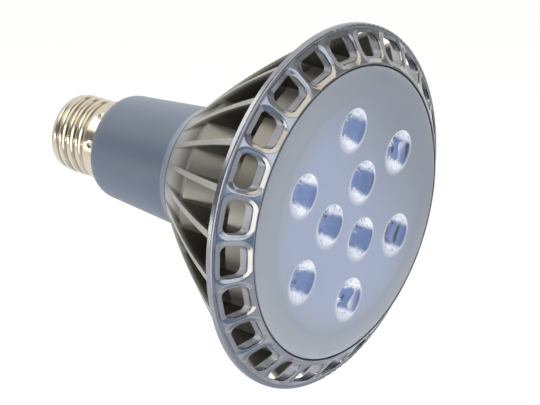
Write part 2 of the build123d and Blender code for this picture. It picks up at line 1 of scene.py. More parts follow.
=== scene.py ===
# %% [markdown]
# # A screw-cap LED lamp, dressed for a studio picture
# The lamp was drawn as solids first: a nickel-plated screw cap, a plastic neck that holds the driver,
# a cast aluminium heat sink and a frosted lens over nine emitters. The solids arrive here in metres,
# as a frame that stays where it is. This lesson gives each solid its finish, and models
# the one piece that the solids leave plain: the rolled screw shell of the cap.

# %% Load the frame
import math

import bpy
from mathutils import Matrix, Vector


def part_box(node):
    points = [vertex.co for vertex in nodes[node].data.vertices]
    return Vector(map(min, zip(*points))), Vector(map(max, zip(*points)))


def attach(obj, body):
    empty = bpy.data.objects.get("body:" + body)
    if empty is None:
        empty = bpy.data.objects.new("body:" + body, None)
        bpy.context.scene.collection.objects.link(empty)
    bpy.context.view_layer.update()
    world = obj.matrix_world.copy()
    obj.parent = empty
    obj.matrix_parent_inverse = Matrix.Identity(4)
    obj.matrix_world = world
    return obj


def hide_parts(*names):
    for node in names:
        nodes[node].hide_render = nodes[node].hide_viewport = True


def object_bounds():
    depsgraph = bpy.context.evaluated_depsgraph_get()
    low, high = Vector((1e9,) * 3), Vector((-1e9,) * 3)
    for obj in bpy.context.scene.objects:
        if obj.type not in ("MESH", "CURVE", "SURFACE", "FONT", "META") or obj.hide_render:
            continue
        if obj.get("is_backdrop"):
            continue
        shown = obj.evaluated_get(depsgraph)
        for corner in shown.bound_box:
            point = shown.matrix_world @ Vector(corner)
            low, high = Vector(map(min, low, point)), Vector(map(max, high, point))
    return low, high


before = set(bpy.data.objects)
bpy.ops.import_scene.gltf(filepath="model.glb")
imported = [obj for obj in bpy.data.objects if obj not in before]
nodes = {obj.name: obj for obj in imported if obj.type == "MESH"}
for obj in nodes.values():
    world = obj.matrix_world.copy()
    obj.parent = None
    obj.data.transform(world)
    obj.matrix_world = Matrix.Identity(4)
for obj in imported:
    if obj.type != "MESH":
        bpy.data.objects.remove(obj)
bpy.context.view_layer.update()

MM = 0.001

# %% [markdown]
# ## The camera
# The lamp axis lies along Y and the light leaves towards -Y. The picture was taken from the -X side,
# in front and a little above. A long lens far away gives its flat perspective, in which the cap
# and the rim keep nearly their true proportion. The camera is turned a little round the lamp axis,
# so that the pattern of vents and emitters stands as it does in the picture.

# %% Place the camera
FOCAL_LENGTH = 166.67
SENSOR_WIDTH = 36.0
CAMERA_TURN = math.radians(2.2)
SHIFT_RIGHT = 0.0444
SHIFT_UP = -0.0369
CLIP_NEAR = 0.01
CLIP_FAR = 50.0
camera_spot = Vector((-589.42, -551.44, 324.82)) * MM
camera_look = Vector((0.71732, 0.57374, -0.39531))
camera_up = Vector((0.31555, 0.23833, 0.91849))

about_lamp_axis = Matrix.Rotation(-CAMERA_TURN, 3, "Y")
camera_spot = about_lamp_axis @ camera_spot
camera_look = about_lamp_axis @ camera_look
camera_up = about_lamp_axis @ camera_up
camera_side = camera_look.cross(camera_up)
camera_axes = Matrix((camera_side, camera_up, -camera_look)).transposed()

bpy.ops.object.camera_add(location=camera_spot, rotation=camera_axes.to_euler())
camera = bpy.context.object
camera.data.lens = FOCAL_LENGTH
camera.data.sensor_width = SENSOR_WIDTH
camera.data.shift_x = SHIFT_RIGHT
camera.data.shift_y = SHIFT_UP
camera.data.clip_start = CLIP_NEAR
camera.data.clip_end = CLIP_FAR
bpy.context.scene.camera = camera
print("camera at", tuple(round(v, 4) for v in camera.location))

# %% [markdown]
# ## Sockets that do sums
# A finish is a small sum: some noise, a mask, a colour between two others. Wiring Math nodes by hand
# is slow to read, so one class wraps a socket and lets plain + - * / and comparisons add the Math nodes.
# Its node method makes every other node: first the settings, then the values or links of the sockets.
# Colours are written as a screen shows them, and turned into the linear values that nodes want.

# %% A class for sockets
MIX_SHARE = 0
MIX_FIRST = 6
MIX_SECOND = 7
MIX_COLOUR = 2


class Wire:
    """A socket of a node tree that can be added, scaled and compared like a number."""

    def __init__(self, tree, socket=None):
        self.tree = tree
        self.socket = socket

    def node(self, kind, settings=None, sockets=None, output=0):
        """Adds a node, sets it, fills or links its sockets, and gives back one of its outputs."""
        made = self.tree.nodes.new(kind)
        for name, value in (settings or {}).items():
            setattr(made, name, value)
        for name, value in (sockets or {}).items():
            if isinstance(value, Wire):
                self.tree.links.new(value.socket, made.inputs[name])
            else:
                made.inputs[name].default_value = value
        return Wire(self.tree, made.outputs[output] if made.outputs else None)

    def math(self, operation, first, second=0.0):
        return self.node("ShaderNodeMath", {"operation": operation}, {0: first, 1: second})

    def __add__(self, other):
        return self.math("ADD", self, other)

    def __sub__(self, other):
        return self.math("SUBTRACT", self, other)

    def __rsub__(self, other):
        return self.math("SUBTRACT", other, self)

    def __mul__(self, other):
        return self.math("MULTIPLY", self, other)

    def __truediv__(self, other):
        return self.math("DIVIDE", self, other)

    def __pow__(self, other):
        return self.math("POWER", self, other)

    def __gt__(self, other):
        return self.math("GREATER_THAN", self, other)

    def __lt__(self, other):
        return self.math("LESS_THAN", self, other)

    __radd__ = __add__
    __rmul__ = __mul__

    def smallest(self, other):
        return self.math("MINIMUM", self, other)

    def largest(self, other):
        return self.math("MAXIMUM", self, other)

    def ramp_between(self, low, high):
        """0 below low, 1 above high, and a smooth rise between them."""
        settings = {"interpolation_type": "SMOOTHSTEP"}
        sockets = {"Value": self, "From Min": low, "From Max": high}
        return self.node("ShaderNodeMapRange", settings, sockets)

    def blend(self, first, second):
        """Colour that goes from first to second as this value goes from 0 to 1."""
        settings = {"data_type": "RGBA", "clamp_factor": True}
        sockets = {MIX_SHARE: self, MIX_FIRST: first, MIX_SECOND: second}
        return self.node("ShaderNodeMix", settings, sockets, output=MIX_COLOUR)

    def mix_shaders(self, first, second):
        """Shader that goes from first to second as this value goes from 0 to 1."""
        return self.node("ShaderNodeMixShader", None, {0: self, 1: first, 2: second})


print("sockets can do sums")

# %% Lengths and colours
SCREEN_FULL = 255
SCREEN_TOE = 0.04045
SCREEN_TOE_SLOPE = 12.92
SCREEN_OFFSET = 0.055
SCREEN_POWER = 2.4


def hypotenuse(first, second):
    """Length of a slanting line from its two legs."""
    return (first * first + second * second) ** 0.5


def linear(value):
    """Linear value of one screen colour."""
    value = value / SCREEN_FULL
    if value <= SCREEN_TOE:
        return value / SCREEN_TOE_SLOPE
    return ((value + SCREEN_OFFSET) / (1 + SCREEN_OFFSET)) ** SCREEN_POWER


def shade(red, green, blue):
    """Linear colour of a paint that is given the way a screen shows it, from 0 to 255."""
    return (linear(red), linear(green), linear(blue), 1.0)


BLACK = shade(0, 0, 0)
WHITE = shade(255, 255, 255)
print("black", BLACK, "white", WHITE)

# %% [markdown]
# ## Starting a finish
# Each finish starts the same way: a fresh material, and the place of a point on the piece.
# Every piece of the lamp sits at the origin, so Object coordinates are places on the lamp, in metres.
# From them come the two numbers that describe a turned object best: the distance from its axis,
# and the station, which is the distance from the contact tip along the axis.

# %% Helpers for finishes
class Finish:
    """A material with the places on the lamp that its patterns need."""

    def __init__(self, name):
        self.material = bpy.data.materials.new(name)
        self.material.use_nodes = True
        self.tree = self.material.node_tree
        self.tree.nodes.clear()
        self.start = Wire(self.tree)
        self.place = self.start.node("ShaderNodeTexCoord", output="Object")
        self.x = self.along("X")
        self.y = self.along("Y")
        self.z = self.along("Z")
        self.station = 0 - self.y

    def along(self, letter):
        """Place along one axis."""
        return self.start.node("ShaderNodeSeparateXYZ", None, {"Vector": self.place}, output=letter)

    def noise(self, grain, detail=3.0, stretch=(1, 1, 1)):
        """Cloudy value from 0 to 1 with patches about one grain across, in millimetres."""
        size = 1 / (grain * MM)
        scale = tuple(size * part for part in stretch)
        spread = self.start.node("ShaderNodeMapping", None, {"Vector": self.place, "Scale": scale})
        sockets = {"Vector": spread, "Scale": 1.0, "Detail": detail}
        return self.start.node("ShaderNodeTexNoise", None, sockets)

    def axis_distance(self):
        """Distance from the lamp axis."""
        return hypotenuse(self.x, self.z)

    def bump(self, height, strength, depth, under=None):
        """Normal that follows a height, with a depth in millimetres, over another normal if given."""
        sockets = {"Strength": strength, "Distance": depth * MM, "Height": height}
        if under is not None:
            sockets["Normal"] = under
        return self.start.node("ShaderNodeBump", None, sockets)

    def principled(self, **sockets):
        """Principled shader with these sockets."""
        named = {name.replace("_", " "): value for name, value in sockets.items()}
        return self.start.node("ShaderNodeBsdfPrincipled", None, named)

    def close(self, shader):
        """Joins a shader to the output and gives back the material."""
        self.start.node("ShaderNodeOutputMaterial", None, {"Surface": shader})
        print("finish:", self.material.name, "with", len(self.tree.nodes), "nodes")
        return self.material


def dress(material, *names):
    """Gives CAD solids a finish."""
    for name in names:
        mesh = nodes[name].data
        mesh.materials.clear()
        mesh.materials.append(material)
    print("dressed", ", ".join(names), "in", material.name)


# %% [markdown]
# ## Floor and room
# The picture shows the lamp on plain white. The floor and the world are white to the camera, to mirrors
# and to glass, and the floor keeps a soft shadow, because only part of its colour shines by itself.
# A mirror sees grey on the camera's side of the room, so that polished metal has something dark to show.

# %% Pale floor
FLOOR_HEIGHT = -0.26
FLOOR_SIZE = 14.0
FLOOR_GRAIN = 400.0
SHINE = 0.86


def seen_directly(start):
    """1 for a ray from the camera, a mirror or glass, and 0 for one that only carries light."""
    camera_ray = start.node("ShaderNodeLightPath", output="Is Camera Ray")
    glossy_ray = start.node("ShaderNodeLightPath", output="Is Glossy Ray")
    glass_ray = start.node("ShaderNodeLightPath", output="Is Transmission Ray")
    return camera_ray.largest(glossy_ray).largest(glass_ray)


bpy.ops.object.select_all(action="DESELECT")
bpy.ops.mesh.primitive_plane_add(size=FLOOR_SIZE, location=(0, 0, FLOOR_HEIGHT))
floor = bpy.context.object
floor.name = "floor"
floor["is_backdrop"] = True
floor_paint = Finish("floor_paint")
floor_tone = floor_paint.noise(FLOOR_GRAIN).blend(shade(238, 238, 240), shade(246, 246, 246))
matt = floor_paint.start.node("ShaderNodeBsdfDiffuse", None, {"Color": floor_tone})
glow = floor_paint.start.node("ShaderNodeEmission", None, {"Strength": 1.0})
floor_shader = (seen_directly(floor_paint.start) * SHINE).mix_shaders(matt, glow)
floor.data.materials.append(floor_paint.close(floor_shader))
print("floor at", FLOOR_HEIGHT, "m")

# %% White room
ROOM_LIGHT = 0.36
ROOM_TINT = (0.86, 0.92, 1.0, 1.0)
BACKDROP_WAY = (0.785, 0.62, 0.0)
NEAR_SIDE_END = -0.05
FAR_SIDE_START = 0.45
world = bpy.data.worlds.new("room")
bpy.context.scene.world = world
world.use_nodes = True
world.node_tree.nodes.clear()
room = Wire(world.node_tree)
way = room.node("ShaderNodeTexCoord", output="Generated")
towards_backdrop = room.node(
    "ShaderNodeVectorMath",
    {"operation": "DOT_PRODUCT"},
    {0: way, 1: BACKDROP_WAY},
    output="Value",
)
in_mirror = room.node("ShaderNodeLightPath", output="Is Glossy Ray")
near_side = (1 - towards_backdrop.ramp_between(NEAR_SIDE_END, FAR_SIDE_START)) * in_mirror
wall_colour = near_side.blend(WHITE, shade(128, 127, 125))
white_walls = room.node("ShaderNodeBackground", None, {"Color": wall_colour, "Strength": 1.0})
room_light = room.node("ShaderNodeBackground", None, {"Color": ROOM_TINT, "Strength": ROOM_LIGHT})
room_shader = seen_directly(room).mix_shaders(room_light, white_walls)
room.node("ShaderNodeOutputWorld", None, {"Surface": room_shader})
bpy.context.scene.view_settings.view_transform = "Standard"
print("room light", ROOM_LIGHT)

# %% [markdown]
# ## Soft lamps
# The top lamp gives the main light. The overhead lamp is weaker and is there to be mirrored: it draws
# the pale streaks on the cap and the rim. A small lamp at the side, like a window, puts the bright points
# on the thread. A weak one in front lights the lens, and a low one stands for the light that a white table
# throws back. The last two and the top lamp are hidden from mirrors, because a lamp shows in polished
# metal as a hard white patch.

# %% Five soft lamps
LAMP_CENTRE = Vector((0, -0.08, 0))


def soft_lamp(name, place, size, power, colour, mirrored=True):
    """Area lamp that looks at the lamp's middle. Polished metal shows it only where mirrored is true."""
    place = Vector(place)
    aim = (LAMP_CENTRE - place).to_track_quat("-Z", "Y").to_euler()
    bpy.ops.object.light_add(type="AREA", location=place, rotation=aim)
    made = bpy.context.object
    made.name = name
    made.data.shape = "RECTANGLE"
    made.data.size, made.data.size_y = size
    made.data.energy = power
    made.data.color = colour
    made.visible_glossy = mirrored
    print("lamp", name, power, "W")


soft_lamp("overhead", (-0.5, 0.5, 0.76), (0.75, 0.6), 2.8, (1.0, 0.96, 0.88))
soft_lamp("window", (-0.5, 0.33, -0.05), (0.085, 0.1), 0.45, (1.0, 1.0, 1.0))
soft_lamp("top", (0.45, 0.1, 0.9), (0.7, 0.6), 19.0, (1.0, 0.93, 0.81), mirrored=False)
soft_lamp("front", (-0.24, -0.66, -0.06), (0.35, 0.3), 0.78, (0.97, 0.98, 1.0), mirrored=False)
soft_lamp("bounce", (-0.35, 0.15, -0.24), (0.6, 0.6), 1.9, (0.74, 0.86, 1.0), mirrored=False)

# %% [markdown]
# ## Cards for the metal to mirror
# Polished metal is only as good as what it mirrors, so a photographer builds a tent of cards round it.
# Here each card is a plane that only mirrors can see, and it throws no light on dull surfaces.
# The far cards give the ring its blue and its pale parts. The lip card and the ceiling card stand close
# to the ring, so that they brighten the lips of its windows and hardly show in the cap.

# %% Eight cards
CARD_CORE = 0.2
CARD_EDGE = 0.5


def card(name, place, size, colour, edge_colour=None, level=False, strength=1.0):
    """Card that only mirrors see, plain or with a soft edge. It faces the lamp's middle or lies level."""
    place = Vector(place)
    aim = (0, 0, 0) if level else (LAMP_CENTRE - place).to_track_quat("Z", "Y").to_euler()
    bpy.ops.object.select_all(action="DESELECT")
    bpy.ops.mesh.primitive_plane_add(size=1.0, location=place, rotation=aim)
    made = bpy.context.object
    made.name = name
    made.scale = (*size, 1.0)
    made.visible_camera = False
    made.visible_diffuse = False
    made.visible_shadow = False
    made.visible_transmission = False
    paint = Finish(name)
    tone = shade(*colour)
    if edge_colour is not None:
        from_core = hypotenuse(paint.x, paint.y).ramp_between(CARD_CORE, CARD_EDGE)
        tone = from_core.blend(tone, shade(*edge_colour))
    shader = paint.start.node("ShaderNodeEmission", None, {"Color": tone, "Strength": strength})
    made.data.materials.append(paint.close(shader))
    made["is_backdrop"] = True


near_wall = (140, 140, 140)
card("blue_card", (-0.2, -0.62, -0.18), (0.62, 0.55), (130, 160, 208), near_wall)
card("pale_card", (-0.13, -0.6, 0.25), (0.7, 0.44), (206, 213, 226), (170, 180, 202), strength=1.9)
card("lip_card", (-0.172, -0.172, 0.01), (0.09, 0.25), (252, 249, 242), (236, 235, 232), strength=2.2)
card("ceiling_card", (0.02, -0.225, 0.28), (0.52, 0.2), (250, 243, 228), (226, 218, 202),
     level=True, strength=1.5)
card("under_card", (0.1, -0.11, -0.25), (0.5, 0.34), (160, 165, 176), (190, 193, 198),
     level=True, strength=1.6)
card("grey_card", (0.75, -0.55, 0.35), (0.9, 0.9), (164, 164, 168), near_wall)
card("cream_card", (-0.62, 0.36, -0.16), (0.6, 0.4), (250, 242, 224), (236, 226, 206))
card("floor_card", (0.0, -2.15, -0.255), (6.0, 4.0), (180, 184, 192), level=True, strength=1.25)

# %% [markdown]
# ## Cast aluminium
# The heat sink is one casting. Its front ring and rim are polished and mirror the room,
# while the fins and the floors between them keep the dull skin of the mould.
# One finish does both: a mask that follows the cone of the ring makes the metal smooth and clear in front,
# and dull behind. The rim is a little darker and duller than the ring.
# Far down between the fins the skin is painted darker, as painted shade where little light reaches.

# %% Where the casting is polished
LIP_TOP = 121.6 * MM
LIP_RADIUS = 49.3 * MM
RING_SLOPE = 1.4
RIM_FOOT = 59.0 * MM
RIM_FADE = 0.3 * MM
POLISH_START = -0.9 * MM
POLISH_FULL = -0.3 * MM
WALL_START = -4.4 * MM
WALL_FULL = -3.6 * MM

sink = Finish("polished_casting")
cloud = sink.noise(grain=9.0, detail=4.0)
cast_grain = sink.noise(grain=0.35, detail=2.0)
reach = sink.axis_distance()
ring_face = LIP_TOP - (reach - LIP_RADIUS) / RING_SLOPE
above_face = sink.station - ring_face
on_rim = reach.ramp_between(RIM_FOOT - RIM_FADE, RIM_FOOT)
polished = above_face.ramp_between(POLISH_START, POLISH_FULL).largest(on_rim)
in_window = above_face.ramp_between(WALL_START, WALL_FULL) * (1 - polished)
rim_station = LIP_TOP - (RIM_FOOT - LIP_RADIUS) / RING_SLOPE
print("the ring falls from station", round(LIP_TOP / MM, 1), "to", round(rim_station / MM, 1), "mm")

# %% Tones of the casting
FIN_START = 64.5 * MM
FIN_REACH = 46.5 * MM
FIN_FOOT = 23.4 * MM
FIN_RISE = 35.6 * MM
FIN_BELLY = 10.4 * MM
CUP_WALL_START = 103.0 * MM
CUP_WALL_RADIUS = 50.2 * MM
CAN_WALL_RADIUS = 36.4 * MM
CAN_WALL_BORE = 34.0 * MM
GAP_SHADE_START = 1.0 * MM
GAP_SHADE_FULL = 4.0 * MM
WALL_SHADE_LIFT = 0.38

share_along = (sink.station - FIN_START) / FIN_REACH
fin_edge = share_along * FIN_RISE + share_along * (1 - share_along) * FIN_BELLY + FIN_FOOT
cup_wall = (sink.station > CUP_WALL_START) * (reach < CUP_WALL_RADIUS)
can_wall = (reach > CAN_WALL_BORE) * (reach < CAN_WALL_RADIUS)
shade_lift = cup_wall.largest(can_wall) * WALL_SHADE_LIFT
# Painted shade: the skin darkens below the fin edges, less so on the cup and can walls.
painted_gap_shade = (fin_edge - reach).ramp_between(GAP_SHADE_START, GAP_SHADE_FULL) * (1 - shade_lift)
open_skin = cloud.blend(shade(168, 166, 159), shade(196, 194, 187))
shaded_skin = cloud.blend(shade(58, 56, 53), shade(76, 74, 70))
skin = in_window.blend(painted_gap_shade.blend(open_skin, shaded_skin), shade(184, 187, 194))
ring_tone = cloud.blend(shade(166, 166, 166), shade(186, 186, 186))
rim_tone = cloud.blend(shade(146, 149, 156), shade(166, 169, 176))
print("fins rise from", round(FIN_FOOT / MM, 1), "to", round((FIN_FOOT + FIN_RISE) / MM, 1), "mm")

# %% [markdown]
# ## Rounded lips of the windows
# Every window of the ring has a rounded lip that catches a line of light. The solid has small rounds
# there, and a bump makes them look broader. The windows repeat round the axis, so the angle is folded
# back onto one window, and the distance from that window's rounded outline sets the height of the bump.
# Drawing each of the 24 windows would also work, but it would take 24 times the nodes.

# %% Lips by a bump
WINDOW_PITCH = math.tau / 24
HALF_PITCH = WINDOW_PITCH / 2
WINDOW_MIDDLE = 54.1 * MM
WINDOW_HALF_HEIGHT = 3.6 * MM
WINDOW_CORNER = 2.6 * MM
HALF_WEB = 1.6 * MM
LIP_START = -0.6 * MM
LIP_END = 1.9 * MM
LIP_DEPTH = 0.95
LIP_SMOOTH = 0.4 * MM
SMOOTH_SHARE = 0.94

turn = sink.start.math("ARCTAN2", sink.z, sink.x)
off_middle = sink.start.math("FLOORED_MODULO", turn + HALF_PITCH, WINDOW_PITCH) - HALF_PITCH
outward = reach * sink.start.math("COSINE", off_middle)
sideways = sink.start.math("ABSOLUTE", reach * sink.start.math("SINE", off_middle))
past_side = (sideways - outward * math.tan(HALF_PITCH) + HALF_WEB + WINDOW_CORNER).largest(0.0)
up_or_down = sink.start.math("ABSOLUTE", outward - WINDOW_MIDDLE)
past_end = (up_or_down - WINDOW_HALF_HEIGHT + WINDOW_CORNER).largest(0.0)
from_window = hypotenuse(past_side, past_end) - WINDOW_CORNER
lip_height = from_window.ramp_between(LIP_START, LIP_END) * polished
lip_normal = sink.bump(lip_height, strength=1.0, depth=LIP_DEPTH)
smooth = polished.largest(from_window < LIP_SMOOTH) * SMOOTH_SHARE
print("a window every", round(math.degrees(WINDOW_PITCH), 1), "degrees")

# %% [markdown]
# ## Inside of the cup
# Behind the lens the casting is a cup, and its wall is seen through the clear places. In the picture
# it glows: white where light from the lens falls on it, and blue on the side away from the camera.
# Light that has passed frost and glass is slow to trace, so the wall gets a glow of its own instead.

# %% Aluminium finish
CUP_START = 112.5 * MM
CUP_BORE = 47.2 * MM
BOARD_TOP = 109.5 * MM
MOUTH_BORE = 35.3 * MM
FAR_SIDE_X = 0.876
FAR_SIDE_Z = 0.482
BLUE_START = 20.0 * MM
BLUE_FULL = 24.0 * MM
VENT_DEPTH = 9.0 * MM

in_cup = (sink.station > CUP_START) * (reach < CUP_BORE)
in_mouth = (sink.station > BOARD_TOP) * (reach < MOUTH_BORE)
far_side = (sink.x * FAR_SIDE_X - sink.z * FAR_SIDE_Z).ramp_between(BLUE_START, BLUE_FULL)
inner_tone = far_side.blend(shade(244, 246, 252), shade(92, 114, 160))
walls = in_window.largest((above_face > -VENT_DEPTH) * (reach > CUP_WALL_RADIUS))
skin_rough = 0.36 + cast_grain * 0.1 + walls * 0.1
polish_rough = 0.12 + cloud * 0.07 + on_rim * 0.07
sink_shader = sink.principled(
    Base_Color=polished.blend(skin, on_rim.blend(ring_tone, rim_tone)),
    Emission_Color=in_cup.largest(in_mouth).blend(BLACK, inner_tone),
    Emission_Strength=1.0,
    Metallic=1 - in_window * 0.15,
    Roughness=(1 - polished) * skin_rough + polished * polish_rough,
    Normal=sink.bump(cast_grain * (1 - smooth), strength=0.12, depth=0.05, under=lip_normal),
)
dress(sink.close(sink_shader), "heat_sink")

# %% [markdown]
# ## Neck plastic
# The neck is a satin moulding in blue-grey plastic. Moulded plastic is never perfectly even: the colour
# drifts a little, and the skin has a fine grain that breaks up its reflections.
# The flare at its front is painted paler, as a painted sheen, and a thin dark seam parts it from the heat
# sink.
# Both follow the station, so plain ramps along the axis are enough.

# %% Plastic finish
FLARE_START = 60.0 * MM
FLARE_END = 62.8 * MM
FLARE_FADE = 0.4 * MM
SEAM_END = 63.5 * MM
SEAM_FADE = 0.2 * MM

neck = Finish("neck_plastic")
drift = neck.noise(grain=14.0, detail=2.0)
moulded_grain = neck.noise(grain=0.28, detail=2.0)
body_tone = drift.blend(shade(93, 102, 118), shade(103, 112, 127))
# Painted sheen: the flare gets a paler colour than the rest of the neck.
flare_sheen_tone = drift.blend(shade(121, 127, 138), shade(131, 137, 147))
past_flare = neck.station.ramp_between(FLARE_END, FLARE_END + FLARE_FADE)
in_flare = neck.station.ramp_between(FLARE_START, FLARE_START + FLARE_FADE) * (1 - past_flare)
seam = past_flare * (1 - neck.station.ramp_between(SEAM_END, SEAM_END + SEAM_FADE))
neck_shader = neck.principled(
    Base_Color=seam.blend(in_flare.blend(body_tone, flare_sheen_tone), shade(74, 82, 98)),
    Roughness=0.4 + moulded_grain * 0.1,
    Specular_IOR_Level=0.35,
    Normal=neck.bump(moulded_grain, strength=0.10, depth=0.03),
)
dress(neck.close(neck_shader), "driver_housing")

# %% [markdown]
# ## Frosted lens with clear places
# The lens is one clear moulding. Its front is frosted, apart from nine round places in front of
# the emitters, where it stays clear and shows the collimator behind it. The mask is the distance to
# the nearest place, measured across the lamp axis, so the frost follows the moulding exactly.
# The two ends of each place sparkle, because the facets of the collimator send the light back there; this
# is painted on the frost as pale specks with a faint glow.

# %% Places of the emitters
SPOT_RADIUS = 6.6 * MM
SPOT_LONG_X = 0.483
SPOT_LONG_Z = 0.876
END_START = 0.42 * SPOT_RADIUS
END_FULL = 0.72 * SPOT_RADIUS

lens = Finish("frosted_lens")
emitter_names = [f"led_{number}" for number in range(1, 10)]
emitter_spots = []
for name in emitter_names:
    low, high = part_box(name)
    emitter_spots.append(((low.x + high.x) / 2, (low.z + high.z) / 2))
print("emitters at", [(round(x / MM, 1), round(z / MM, 1)) for x, z in emitter_spots])


def nearest_spot(shift_x, shift_z):
    """Distance to the nearest emitter, measured across the lamp axis, with all emitters shifted."""
    nearest = None
    for spot_x, spot_z in emitter_spots:
        away = hypotenuse(lens.x - (spot_x + shift_x), lens.z - (spot_z + shift_z))
        nearest = away if nearest is None else nearest.smallest(away)
    return nearest


def spot_ends():
    """1 on the two ends of a clear place, where the glint of its collimator's facets is painted."""
    ends = None
    for spot_x, spot_z in emitter_spots:
        across = lens.x - spot_x
        upward = lens.z - spot_z
        inside = hypotenuse(across, upward) < SPOT_RADIUS
        along = lens.start.math("ABSOLUTE", across * SPOT_LONG_X + upward * SPOT_LONG_Z)
        end = inside * along.ramp_between(END_START, END_FULL)
        ends = end if ends is None else ends.largest(end)
    return ends


# %% Masks of the lens
FROST_START = 120.8 * MM
CLEAR_RADIUS = SPOT_RADIUS - 0.03 * MM
EDGE_INSIDE = SPOT_RADIUS - 0.1 * MM
EDGE_OUTSIDE = SPOT_RADIUS + 0.25 * MM
GLOW_INSIDE = SPOT_RADIUS - 0.6 * MM
GLOW_OUTSIDE = SPOT_RADIUS + 1.1 * MM
GLOW_SHIFT_X = -0.7 * MM
GLOW_SHIFT_Z = -0.8 * MM
GLOW_SHARE = 0.85
SPARKLE_START = 0.15
SPARKLE_FULL = 0.5

nearest = nearest_spot(0.0, 0.0)
clear = (nearest < CLEAR_RADIUS).largest(lens.station < FROST_START)
# Painted highlight: a thin pale ring round the edge of each clear place.
painted_edge_highlight = (nearest < EDGE_OUTSIDE) * (nearest > EDGE_INSIDE)
# Painted light: a pale glow on the frost round each clear place, set a little off its middle.
beside = nearest_spot(GLOW_SHIFT_X, GLOW_SHIFT_Z)
painted_spot_glow = (1 - beside.ramp_between(GLOW_INSIDE, GLOW_OUTSIDE)) * GLOW_SHARE
# Painted glint: pale specks with a faint glow on the two ends of each clear place.
glitter = lens.noise(grain=0.9, detail=2.0).ramp_between(SPARKLE_START, SPARKLE_FULL)
sparkle = glitter * spot_ends() * (lens.station > FROST_START)
print("clear places", round(2 * SPOT_RADIUS / MM, 1), "mm across")

# %% Frost colours
MIDDLE_END = 30.0 * MM
BORDER_START = 43.0 * MM
RIGHT_X = 0.7
RIGHT_Z = 0.5
RIGHT_START = -2.0 * MM
RIGHT_FULL = 34.0 * MM
DISH_START = 37.5 * MM
DISH_LINE = 39.5 * MM
DISH_END = 42.5 * MM
DISH_SHARE = 0.22

frost_grain = lens.noise(grain=0.22, detail=2.0)
frost_cloud = lens.noise(grain=26.0, detail=2.0)
lens_reach = lens.axis_distance()
middle_tone = frost_cloud.blend(shade(172, 184, 212), shade(182, 193, 218))
border_tone = frost_cloud.blend(shade(170, 177, 188), shade(178, 184, 194))
# Painted shade: the frost turns greyer and darker towards its right and top.
shaded_side_tone = frost_cloud.blend(shade(152, 159, 171), shade(160, 167, 178))
painted_shade_right = (lens.x * RIGHT_X + lens.z * RIGHT_Z).ramp_between(RIGHT_START, RIGHT_FULL)
# Painted shade: a faint darker blue ring where the flat middle of the lens meets its border.
past_line = lens_reach.ramp_between(DISH_LINE, DISH_END)
painted_dish_shade = lens_reach.ramp_between(DISH_START, DISH_LINE) * (1 - past_line)
frost_colour = lens_reach.ramp_between(MIDDLE_END, BORDER_START).blend(middle_tone, border_tone)
frost_colour = painted_shade_right.blend(frost_colour, shaded_side_tone)
frost_colour = (painted_dish_shade * DISH_SHARE).blend(frost_colour, shade(148, 158, 184))
frost_colour = painted_spot_glow.blend(frost_colour, shade(226, 230, 240))
print("frost is blue to", round(MIDDLE_END / MM), "mm and grey from", round(BORDER_START / MM), "mm")

# %% Lens finish
COLLIMATOR_TOP = 119.0 * MM
SPARKLE_COVER = 0.75

frost_shader = lens.principled(
    Base_Color=painted_edge_highlight.largest(sparkle).blend(frost_colour, shade(232, 236, 246)),
    Emission_Color=sparkle.blend(BLACK, shade(120, 124, 134)),
    Emission_Strength=1.0,
    Roughness=0.42 + frost_grain * 0.12,
    Normal=lens.bump(frost_grain, strength=0.10, depth=0.03),
)
facet = lens.noise(grain=0.6, detail=2.0)
clear_shader = lens.principled(
    Base_Color=frost_cloud.blend(shade(246, 248, 255), shade(250, 251, 255)),
    Roughness=0.02 + frost_cloud * 0.02,
    Transmission_Weight=1.0,
    IOR=1.49,
    Normal=lens.bump(facet * (lens.station < COLLIMATOR_TOP), strength=0.35, depth=0.08),
)
lens_shader = (clear * (1 - sparkle * SPARKLE_COVER)).mix_shaders(frost_shader, clear_shader)
dress(lens.close(lens_shader), "lens_cover")

# %% [markdown]
# ## Emitters and their board
# Each emitter is a small ceramic base with a silicone dome over the chip. The board under them is covered
# with blue solder mask. They are seen through the clear places and the collimators, where little light
# arrives, so both have a glow of their own.

# %% Emitter and board finishes
DOME_START = 110.5 * MM
DOME_FULL = 110.7 * MM

emitter = Finish("emitter_body")
dome = emitter.station.ramp_between(DOME_START, DOME_FULL)
ceramic = emitter.noise(grain=0.5, detail=2.0).blend(shade(206, 208, 212), shade(226, 228, 230))
emitter_shader = emitter.principled(
    Base_Color=dome.blend(ceramic, shade(150, 170, 225)),
    Roughness=0.5 - dome * 0.42,
    Emission_Color=dome.blend(shade(235, 238, 245), shade(205, 218, 255)),
    Emission_Strength=1.6,
)
dress(emitter.close(emitter_shader), *emitter_names)

board = Finish("blue_solder_mask")
mask_cloud = board.noise(grain=5.0, detail=3.0)
board_shader = board.principled(
    Base_Color=mask_cloud.blend(shade(96, 122, 170), shade(124, 148, 192)),
    Roughness=0.42 + mask_cloud * 0.1,
    Emission_Color=mask_cloud.blend(shade(86, 108, 150), shade(112, 134, 172)),
    Emission_Strength=0.8,
)
dress(board.close(board_shader), "led_board")

# %% [markdown]
# ## Plain finishes for the other pieces
# The driver, its components, the leads and the screws are hidden in the neck and the can.
# They are still finished, because someone who takes the lamp apart sees them. The seal shows as a thin
# dark line round the lens, and the contact and its insulator close the end of the cap.
# One helper makes a coated or moulded finish, another a bare metal, and each table row is one finish.

# %% Coated and moulded pieces
FINE_GRAIN_SHARE = 8


def coated(name, dark, light, grain, rough):
    """Moulded or coated finish between two colours, with a fine grain on its skin."""
    made = Finish(name)
    patch = made.noise(grain)
    fine = made.noise(grain / FINE_GRAIN_SHARE, detail=2.0)
    shader = made.principled(
        Base_Color=patch.blend(shade(*dark), shade(*light)),
        Roughness=rough + fine * 0.1,
        Normal=made.bump(fine, strength=0.06, depth=0.04),
    )
    return made.close(shader)


